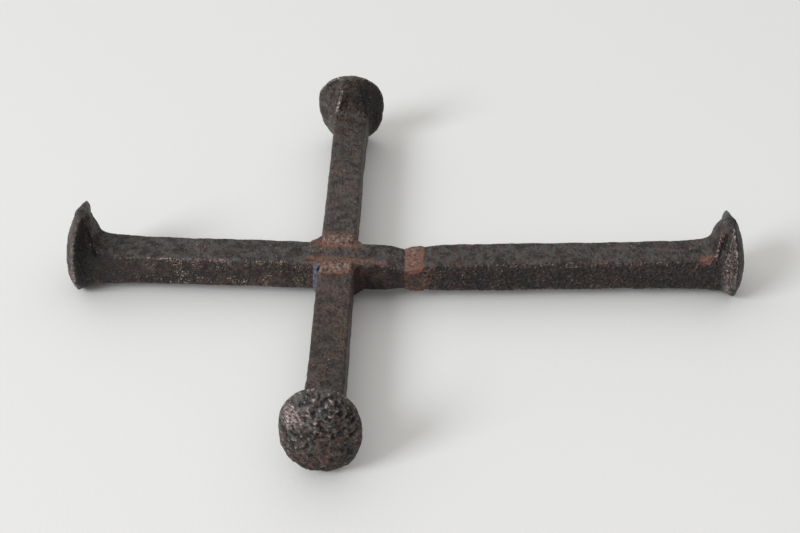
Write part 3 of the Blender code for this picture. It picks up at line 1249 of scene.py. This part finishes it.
def cut_tail(reach: float) -> tuple[Section, ...]:
    """Finds the sections of an arm's cut end.

    Args:
        reach: How far the crossing is behind the head's rim.

    Returns:
        The sections from the cut to the full shank.
    """
    end = -reach + HALF_SHANK + 0.3
    inner = HALF_SHANK - ARM_BEVEL
    return (
        Section(end, SHANK_WIDTH, inner, inner),
        Section(end + ARM_BEVEL * 0.5, SHANK_WIDTH, HALF_SHANK - 1.4, HALF_SHANK - 1.4),
        Section(end + ARM_BEVEL),
        Section(end + 8.0),
    )


def upper_traits(spike: Spike, local: Rows, outward: Rows) -> dict[Trait, Rows]:
    """Marks the upper stem spike: dusted with pale specks along its near face, shade painted under its
    head.

    Args:
        spike: The spike.
        local: Its points in its own frame.
        outward: Its normals in the cross's frame.

    Returns:
        The traits that differ from an ordinary spike's.
    """
    near = near_side(outward) * ramp(-local[:, 0], 22, 40) * ramp(local[:, 0], -118, -90)
    rim = ramp(local[:, 0], 0.4, 2.0)
    under = ramp(local[:, 0] + 0.1 * local[:, 2], -6.5, -2.5) * (1 - rim)
    corner = HALF_SHANK - 0.5
    from_edge = (local[:, 1] - corner) ** 2 + (local[:, 2] - corner) ** 2
    edge = np.exp(-from_edge / 0.65**2) * ramp(-local[:, 0], 10, 14) * ramp(local[:, 0], -105, -60)
    from_rim = past_rim(local, spike.head) - RIM_THICKNESS
    band = np.exp(-((from_rim / 2.0) ** 2)) * ramp(local[:, 1], 9, 13) * ramp(local[:, 2], -14, -6)
    return {
        Trait.RIDGE: np.maximum(0.62 * edge, 0.62 * band),
        Trait.PALE: 0.12 + 0.88 * near,
        Trait.RED: 0.35 + 0.3 * near + 0.4 * rim - 0.1 * under,
        Trait.POLISH: 0.3 + 0.65 * np.maximum(rim, edge),
        # Painted shade on the head's underside, where it faces down.
        Trait.SOOT: 0.5 * under * ramp(-outward[:, 2], -0.6, 0.1),
    }


def lower_traits(spike: Spike, local: Rows, outward: Rows) -> dict[Trait, Rows]:
    """Marks the lower stem spike: red in the pits of its near face, bare round its wedge, a painted
    highlight on its head's underside and painted shade over its dome.

    Args:
        spike: The spike.
        local: Its points in its own frame.
        outward: Its normals in the cross's frame.

    Returns:
        The traits that differ from an ordinary spike's.
    """
    near = near_side(outward) * ramp(-local[:, 0], 4, 12)
    head = ramp(local[:, 0] + 0.12 * local[:, 2], -7, -3)
    from_rim = past_rim(local, spike.head)
    dome = ramp(from_rim, 1.2, 2.2)
    under = ramp(-outward[:, 0], 0.1, 0.7) * ramp(local[:, 0] + 0.12 * local[:, 2], -8, -1.5)
    under = under * ramp(-local[:, 1], 5, 10)
    before_wedge = 0.95 * np.exp(-(((local[:, 0] + 11.5) / 3.6) ** 2)) * ramp(-local[:, 1], 1, 7)
    before_wedge = before_wedge * ramp(local[:, 2], 4, 7)
    under_rim = np.exp(-((local - np.array((-0.5, -11.0, -12.5))) ** 2).sum(axis=1) / 4.5**2)
    return {
        Trait.RED: 0.35 + 0.4 * near,
        Trait.POLISH: 0.35 + 0.55 * head * (1 - dome),
        # Painted highlight: the head's underside, which faces the window, is made lighter and bare.
        Trait.GREY_AND_HIGHLIGHT: np.maximum(upward(outward) * 0.7, 0.55 * under) * (1 - dome),
        Trait.RIDGE: 0.62 * under,
        Trait.HEAT: np.maximum(before_wedge, 1.4 * under_rim),
        # Painted shade over the dome, which faces away from the window, and darker scale on the near face.
        Trait.SOOT: (0.2 * near + 0.6 * ramp(from_rim, -1.5, 0.5)) * (1 - under),
    }


def arm_traits(spike: Spike, local: Rows, outward: Rows) -> dict[Trait, Rows]:
    """Marks an arm: brown with ochre specks, its head smoother, with a painted highlight on the head's side
    towards the window and painted shade on the side away from it.

    Args:
        spike: The spike; not used.
        local: Its points in its own frame.
        outward: Its normals in the cross's frame.

    Returns:
        The traits that differ from an ordinary spike's.
    """
    head = ramp(local[:, 0] + 0.12 * local[:, 2], -9, -5)
    # Painted highlight on the head's side towards the window, painted shade on the side away from it.
    towards_light = head * ramp(-outward[:, 0], -0.25, 0.1) * ramp(local[:, 1], 2, 5)
    away = head * ramp(-local[:, 1], 4, 8)
    return {
        Trait.RIDGE: 0.45 * towards_light,
        Trait.RED: 0.65 * (1 - 0.8 * towards_light),
        Trait.PALE: np.full(len(local), 0.2),
        Trait.GREY_AND_HIGHLIGHT: np.maximum(upward(outward) * 0.65, towards_light),
        Trait.POLISH: 0.35 + 0.3 * head + 0.35 * towards_light,
        Trait.SOOT: 0.5 * away,
    }


def struck_traits(spike: Spike, local: Rows, outward: Rows) -> dict[Trait, Rows]:
    """Marks the left arm: its struck face is polished, lighter towards the upper left as a painted
    highlight, and red below.

    Args:
        spike: The spike.
        local: Its points in its own frame.
        outward: Its normals in the cross's frame.

    Returns:
        The traits that differ from an ordinary spike's.
    """
    face = ramp(past_rim(local, spike.head), 0.5, 2.5)
    upper_left = ramp(local[:, 2] - local[:, 1], 2, 26)
    lower = ramp(-local[:, 2], -14, 2)
    traits = arm_traits(spike, local, outward)
    flat = on_flat(local, 6.5)
    return traits | {
        Trait.RIDGE: 1.0 * flat * face,
        Trait.HOLLOW: 1 - 0.85 * face * lower,
        Trait.POLISH: traits[Trait.POLISH] * (1 - face) + face * (0.1 + 0.9 * upper_left),
        # Painted highlight: the struck face is made lighter towards the upper left, where the window lights
        # it.
        Trait.GREY_AND_HIGHLIGHT: 0.25 + 0.75 * face * upper_left,
        Trait.RED: 0.65 + 0.5 * face * lower,
        Trait.PALE: 0.2 * (1 - face) + 0.12 * face,
        Trait.SOOT: np.zeros(len(local)),
    }


def spikes() -> list[Spike]:
    """Returns the four spikes of the cross."""
    butt_offset = (BUTT_JOINT - CROSSING).length
    return [
        Spike(
            name="upper_stem_spike",
            origin=CROSSING,
            heading=UPPER_HEADING,
            reach=UPPER_REACH,
            tail=point_tail(UPPER_REACH + butt_offset, 2.6, 1.4),
            head=Head(
                lip_reach=19.7, upper_squareness=2.2, lean=radians(6), rib_curve=0.56, neck_curve=3.0,
                dome_flat=3.2, rim_hollow=1.3,
            ),
            finish=IronFinish("upper_spike_iron"),
            slot=Slot.SPIKE,
            wear=(
                Dent((-1.5, 0.0, -13.0), (-1.7, 0.0, -0.4), 4.5),
                Dent((2.5, 0.0, -13.5), (0.8, 0.0, 0.0), 4.5),
                Dent((-4.6, 0.6, 25.0), (-1.3, 0.0, 0.4), 2.6),
                Dent((1.2, 0.0, 26.2), (0.3, 0.0, 1.6), 2.6),
                Crease((-6.8, 8.6, 9.6), (-5.0, 5.4, 21.0), 1.0, 0.9),
                Crease((-6.8, -8.6, 9.6), (-5.0, -5.4, 21.0), 1.0, 0.9),
            ),
            traits=upper_traits,
        ),
        Spike(
            name="lower_stem_spike",
            origin=BUTT_JOINT,
            heading=LOWER_HEADING,
            reach=LOWER_REACH,
            tail=point_tail(LOWER_REACH, 0.9, 0.8),
            head=Head(
                lip_reach=18.2, belly_height=11.0, upper_squareness=2.0, lean=radians(6),
                rib_curve=0.46, neck_curve=2.8, dome_flat=3.2, dome_rise=4.2, rim_hollow=0.8,
            ),
            finish=IronFinish("lower_spike_iron", shift=40.0),
            slot=Slot.SPIKE,
            front_pits=0.26,
            dome_bare_cut=0.85,
            wear=(
                Dent((3.5, 0.0, -12.0), (1.5, 0.0, -0.3), 5.0),
                Dent((-3.0, 0.0, 25.5), (-1.0, 0.0, 0.4), 2.8),
                Dent((-4.8, 0.0, 18.5), (-1.1, 0.0, 0.3), 5.0),
                Dent((-3.6, 0.0, 22.8), (-0.9, 0.0, 0.2), 2.2),
                Dent((1.0, 0.0, 24.8), (0.3, 0.0, 1.5), 2.6),
                Crease((-6.6, -9.0, 9.4), (-3.9, -5.2, 20.5), 0.8, 1.1),
                Crease((-7.2, -7.6, 9.2), (-4.6, -4.0, 21.0), 0.7, -0.5),
                Crease((-6.6, 9.0, 9.4), (-3.9, 5.2, 20.5), 0.8, 1.1),
                Crease((-0.9, -14.0, -4.0), (-2.2, -13.6, 14.0), 0.8, -0.45),
                Crease((-1.6, -12.2, -4.0), (-2.8, -11.8, 14.0), 1.1, 0.45),
            ),
            traits=lower_traits,
        ),
        Spike(
            name="right_arm_spike",
            origin=CROSSING,
            heading=RIGHT_ARM_HEADING,
            reach=RIGHT_ARM_REACH,
            tail=cut_tail(RIGHT_ARM_REACH),
            head=Head(
                lip_reach=21.0, belly_height=10.8, upper_squareness=2.15, lower_squareness=2.35,
                neck_curve=3.0, dome_flat=2.6,
            ),
            finish=IronFinish("right_arm_iron", brown=(0.078, 0.052, 0.040), brown_from=0.4, shift=80.0),
            slot=Slot.ARM,
            wear=(
                Crease((-6.8, 8.4, 9.4), (-4.4, 4.6, 22.0), 0.9, 1.0),
                Crease((-7.4, 7.2, 9.2), (-5.2, 3.6, 21.0), 0.9, -0.6),
                Crease((-6.8, -8.4, 9.4), (-4.4, -4.6, 22.0), 0.9, 1.0),
                Dent((-3.0, 11.0, 6.0), (0.9, 0.0, 0.0), 5.0),
                Dent((-3.0, -11.0, 6.0), (0.9, 0.0, 0.0), 5.0),
                Dent((-6.0, 2.0, 14.0), (0.7, 0.0, -0.3), 1.6),
            ),
            traits=arm_traits,
        ),
        Spike(
            name="left_arm_spike",
            origin=CROSSING,
            heading=LEFT_ARM_HEADING,
            reach=LEFT_ARM_REACH,
            tail=cut_tail(LEFT_ARM_REACH),
            head=Head(
                lip_reach=21.6, back_overhang=3.2, belly_height=10.2, upper_squareness=2.1,
                lower_squareness=2.2, neck_curve=3.0, dome_flat=2.6,
            ),
            finish=IronFinish("left_arm_iron", brown=(0.078, 0.050, 0.040), brown_from=0.42, shift=120.0),
            slot=Slot.ARM,
            struck=1.5,
            wear=(
                Facet((2.2, -12.6, 21.5), (0.5, -0.66, 0.56)),
                Facet((1.0, -10.8, -6.0), (0.1, -0.72, -0.69)),
                Dent((6.5, 1.5, 16.5), (-1.3, 0.0, 0.0), 1.7),
                Dent((6.5, 5.0, 19.0), (-1.0, 0.0, 0.0), 1.5),
                Crease((7.0, -3.0, 20.0), (6.8, 2.5, 12.0), 0.8, -0.6),
            ),
            traits=struck_traits,
        ),
    ]


def weld_runs() -> list[WeldRun]:
    """Returns the twelve runs of weld metal."""
    half = HALF_SHANK
    runs = []
    pinkish = WeldFinish(
        "butt_weld_metal", dark=(0.070, 0.038, 0.029), light=(0.215, 0.120, 0.090),
        rust=(0.20, 0.085, 0.052), rust_from=0.45,
    )
    brown = WeldFinish(
        "butt_weld_brown_metal", dark=(0.022, 0.014, 0.012), light=(0.090, 0.056, 0.044),
        rust=(0.105, 0.050, 0.034), rust_from=0.45,
    )
    for face, start, end, out, crown in (
        ("front", (0, -half - 0.2, 5.75), (0, half + 0.2, 5.75), (-0.2, 0, 1), 0.75),
        ("back", (0, -half - 0.2, -6.2), (0, half + 0.2, -6.2), (-0.1, 0, -1), 0.9),
        ("right", (0, half - 0.9, -5.8), (0, half - 0.9, 5.2), (0, 1, 0), 1.0),
        ("left", (0, 0.9 - half, -5.8), (0, 0.9 - half, 5.2), (0, -1, 0), 1.0),
    ):
        runs.append(
            WeldRun(
                f"butt_weld_{face}_run", origin=BUTT_JOINT, heading=BUTT_HEADING, start=start, end=end,
                out=out, width=9.6, crown=crown, root=2.6, finish=pinkish if face == "front" else brown,
                lumps=0.55,
            )
        )
    for arm, heading, lap in (("right_arm", RIGHT_ARM_HEADING, 3.6), ("left_arm", LEFT_ARM_HEADING, 1.6)):
        middle = half - lap + ROOT_RUN_MIDDLE
        for face, side in (("front", 1), ("back", -1)):
            runs.append(
                WeldRun(
                    f"{arm}_{face}_run", origin=CROSSING, heading=heading,
                    start=(middle, 0.5 - half, side * ROOT_RUN_BASE),
                    end=(middle, half - 0.5, side * ROOT_RUN_BASE), out=(0, 0, side), width=10.6,
                    crown=1.75, root=2.0,
                    finish=WeldFinish(f"{arm}_{face}_metal", shift=17.0 * len(runs)), lumps=0.9,
                )
            )
    bright = WeldFinish(
        "bright_weld_metal", dark=(0.07, 0.075, 0.105), light=(0.22, 0.24, 0.31),
        rust=(0.12, 0.12, 0.15), roughness=0.2, metallic=0.9, grain_depth=0.0, pitted=0.0,
    )
    for name, heading, side, leg, crown in (
        ("right_arm_upper_fillet", RIGHT_ARM_HEADING, 1, 4.8, -0.9),
        ("right_arm_lower_fillet", RIGHT_ARM_HEADING, -1, 2.6, -0.3),
        ("left_arm_upper_fillet", LEFT_ARM_HEADING, -1, 4.0, 0.9),
        ("left_arm_lower_fillet", LEFT_ARM_HEADING, 1, 4.4, -1.0),
    ):
        shiny = name == "left_arm_upper_fillet"
        # Painted shade: the fillet right of the lower arm lies in the arm's shadow, so its colours are
        # darkened.
        shade = 0.4 if name == "left_arm_lower_fillet" else 1.0
        dull = WeldFinish(
            f"{name}_metal", dark=(0.022 * shade, 0.015 * shade, 0.013 * shade),
            light=(0.080 * shade, 0.052 * shade, 0.043 * shade),
            rust=(0.15 * shade, 0.062 * shade, 0.036 * shade), shift=9.0 * len(runs),
        )
        at = half + leg * (0.42 if shiny else 0.46)
        runs.append(
            WeldRun(
                name, origin=CROSSING, heading=heading, start=(at, side * at, -FILLET_END),
                end=(at, side * at, FILLET_END), out=(1, side, 0), width=leg * (1.15 if shiny else 1.5),
                crown=crown, root=3.6, finish=bright if shiny else dull,
                slot=Slot.BRIGHT if shiny else Slot.WELD, end_taper=0.42 if shiny else 0.07,
                lumps=0.0 if shiny else 0.45,
            )
        )
    return runs


# ---------------------------------------------------------------- the studio


@dataclass(frozen=True)
class Studio:
    """The pale floor, the soft light and the camera."""

    floor_side: float = 40.0
    floor_colour: Colour = (0.775, 0.775, 0.775)
    paper_tooth: float = 0.00006
    room_light: float = 0.90
    room_shade: float = 0.05
    room_side: Point = (-0.42, 0.22, 0.88)
    room_colour: Colour = (1.0, 0.99, 0.962)
    window_azimuth: float = radians(35)
    window_elevation: float = radians(34)
    window_distance: float = 3.4
    window_side: float = 1.25
    window_power: float = 65.0
    window_colour: Colour = (0.97, 0.99, 1.0)
    camera_place: Point = (0.00615, -0.48988, 0.42966)
    camera_pitch: float = radians(49.5)
    camera_turn: float = radians(1.0)
    lens: float = 63.62
    sensor_width: float = 36.0

    def floor(self) -> None:
        """Lays the floor, a sheet of pale paper with a faint tooth."""
        bpy.ops.object.select_all(action="DESELECT")
        bpy.ops.mesh.primitive_plane_add(size=self.floor_side)
        floor = bpy.context.active_object
        floor.name = floor.data.name = "floor"
        made, graph = new_material("pale_paper")
        at = graph.place()
        tooth = graph.node("TexNoise", {"Vector": at, "Scale": 0.7, "Detail": 3.0})
        bump = graph.node("Bump", {"Height": tooth.outputs[0], "Distance": self.paper_tooth})
        graph.surface(
            {
                "Base Color": self.floor_colour, "Roughness": 0.95, "Specular IOR Level": 0.0,
                "Normal": bump.outputs[0],
            }
        )
        floor.data.materials.append(made)

    def light(self) -> None:
        """Lights the floor from a pale room and a window."""
        world = bpy.data.worlds.new("room")
        bpy.context.scene.world = world
        world.use_nodes = True
        graph = Graph(world.node_tree)
        towards = graph.node("TexCoord").outputs["Generated"]
        facing = graph.node("VectorMath", {0: towards, 1: self.room_side}, operation="DOT_PRODUCT")
        share = graph.ramp(facing.outputs["Value"], -0.5, 0.95)
        strength = graph.between(share, self.room_shade, self.room_light)
        sky = graph.node("Background", {"Color": self.room_colour, "Strength": strength})
        graph.node("OutputWorld", {"Surface": sky.outputs[0]})
        flat = cos(self.window_elevation) * self.window_distance
        place = Vector(
            (
                -cos(self.window_azimuth) * flat, -sin(self.window_azimuth) * flat,
                sin(self.window_elevation) * self.window_distance,
            )
        )
        window = bpy.data.lights.new("window", "AREA")
        window.shape = "SQUARE"
        window.size = self.window_side
        window.energy = self.window_power
        window.color = self.window_colour
        made = bpy.data.objects.new("window", window)
        made.location = place
        made.rotation_euler = (-place).to_track_quat("-Z", "Y").to_euler()
        bpy.context.scene.collection.objects.link(made)

    def camera(self) -> None:
        """Sets up the camera above and before the left arm's head."""
        lens = bpy.data.cameras.new("camera")
        lens.lens = self.lens
        lens.sensor_width = self.sensor_width
        made = bpy.data.objects.new("camera", lens)
        made.location = self.camera_place
        made.rotation_euler = (self.camera_pitch, 0, self.camera_turn)
        bpy.context.scene.collection.objects.link(made)
        bpy.context.scene.camera = made
        bpy.context.scene.view_settings.view_transform = "Standard"

    def build(self) -> None:
        """Sets up the whole studio."""
        self.floor()
        self.light()
        self.camera()


def main() -> None:
    """Builds the cross's looks and the studio."""
    logging.basicConfig(level=logging.INFO, format="%(name)s: %(message)s")
    Studio().build()
    for make in (blotches, pits, specks, worn_edges):
        make()
    for spike in spikes():
        spike.build()
    for run in weld_runs():
        run.build()


if __name__ == "__main__":
    main()
